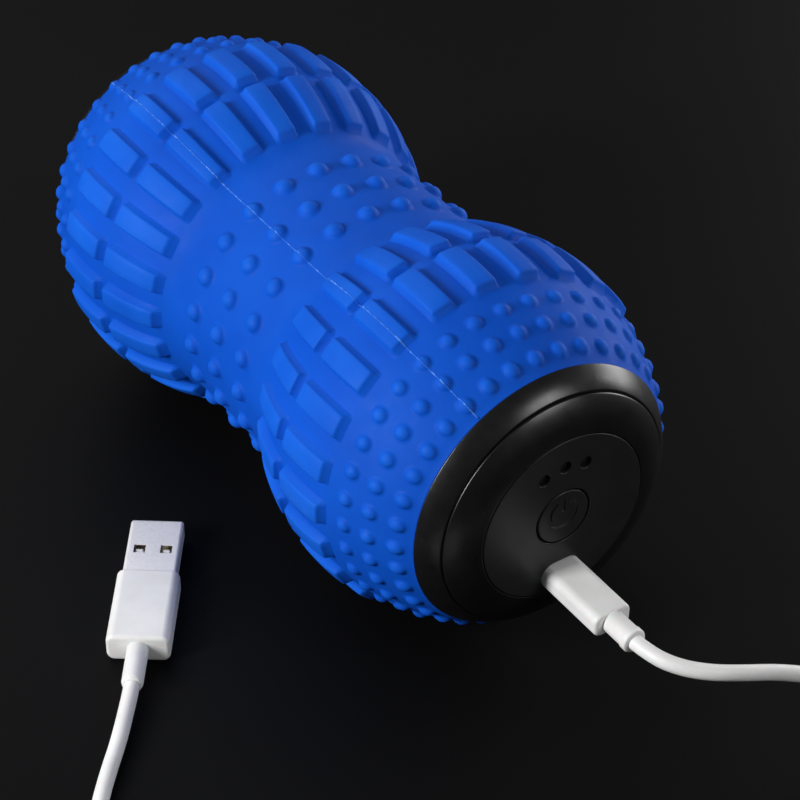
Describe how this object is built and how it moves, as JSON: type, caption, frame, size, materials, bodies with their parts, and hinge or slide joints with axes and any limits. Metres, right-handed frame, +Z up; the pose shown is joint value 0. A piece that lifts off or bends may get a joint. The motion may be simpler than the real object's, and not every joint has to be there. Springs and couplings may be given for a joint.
{
  "type": "massage ball",
  "caption": "Peanut-shaped vibrating massage ball with a treaded silicone sleeve, round control panel, push button and a plugged-in charging cable.",
  "frame": {"origin": "centre of the roller in plan, on the surface that it lies on", "axes": "+X along the roller axis towards the control panel, +Z up"},
  "size_m": [0.2477, 0.1598, 0.086],
  "materials": {
    "silicone_blue": "matte, faint sheen",
    "core_plastic": "moulded",
    "trim_black": "satin gloss",
    "panel_black": "fine satin",
    "board_green": "solder mask",
    "light_lens": "smoked, unlit",
    "light_chip": "plain",
    "socket_steel": "plated",
    "contact_carrier": "plain",
    "contact_gold": "plated",
    "screw_steel": "zinc plated",
    "weight_iron": "sintered",
    "cell_wrap": "shrink film",
    "wire_insulation": "plain",
    "cable_white": "smooth",
    "cord_white": "smooth"
  },
  "bodies": {
    "roller": {"battery_cell_left": "cell_wrap", "battery_cell_right": "cell_wrap", "battery_cover": "core_plastic", "battery_lead_left": "wire_insulation", "battery_lead_right": "wire_insulation", "battery_tray": "core_plastic", "board_screws": "screw_steel", "charging_socket": "socket_steel", "circuit_board": "board_green", "control_panel": "panel_black", "core_shell_lower": "core_plastic", "core_shell_upper": "core_plastic", "front_bezel_ring": "trim_black", "front_bulkhead": "core_plastic", "front_end_frame": "core_plastic", "front_inner_ring": "trim_black", "front_motor_screws": "screw_steel", "light_chip_1": "light_chip", "light_chip_2": "light_chip", "light_chip_3": "light_chip", "light_pipe_1": "light_lens", "light_pipe_2": "light_lens", "light_pipe_3": "light_lens", "motor_can": "screw_steel", "rear_bezel_ring": "trim_black", "rear_bulkhead": "core_plastic", "rear_end_frame": "core_plastic", "rear_inner_ring": "trim_black", "rear_motor_screws": "screw_steel", "rear_panel": "panel_black", "silicone_sleeve": "silicone_blue", "socket_tongue": "contact_carrier", "tactile_switch": "panel_black"},
    "button": {"power_button": "panel_black", "switch_plunger": "panel_black"},
    "rotor": {"motor_shaft": "screw_steel", "front_weight": "weight_iron", "rear_weight": "weight_iron"},
    "cable": {"port_plug_shell": "socket_steel", "port_plug_body": "cable_white", "port_plug_boot": "cable_white", "cord_to_coil": "cord_white", "cord_coil": "cord_white", "cord_from_coil": "cord_white", "supply_plug_boot": "cable_white", "supply_plug_body": "cable_white", "supply_plug_shell": "socket_steel", "supply_plug_tongue": "contact_carrier", "supply_plug_contacts": "contact_gold"}
  },
  "joints": [
    {"name": "button_press", "type": "slide", "parent": "roller", "child": "button", "axis": [-1, 0, 0], "range_m": [0, 0.0006], "stiffness_N_per_m": 2500, "springref_m": -0.0002},
    {"name": "rotor_spin", "type": "hinge", "parent": "roller", "child": "rotor", "pos_m": [0.03, 0, 0.043], "axis": [1, 0, 0], "continuous": true},
    {"name": "cable_pull", "type": "slide", "parent": "roller", "child": "cable", "axis": [1, 0, 0], "range_m": [0, 0.02]}
  ]
}
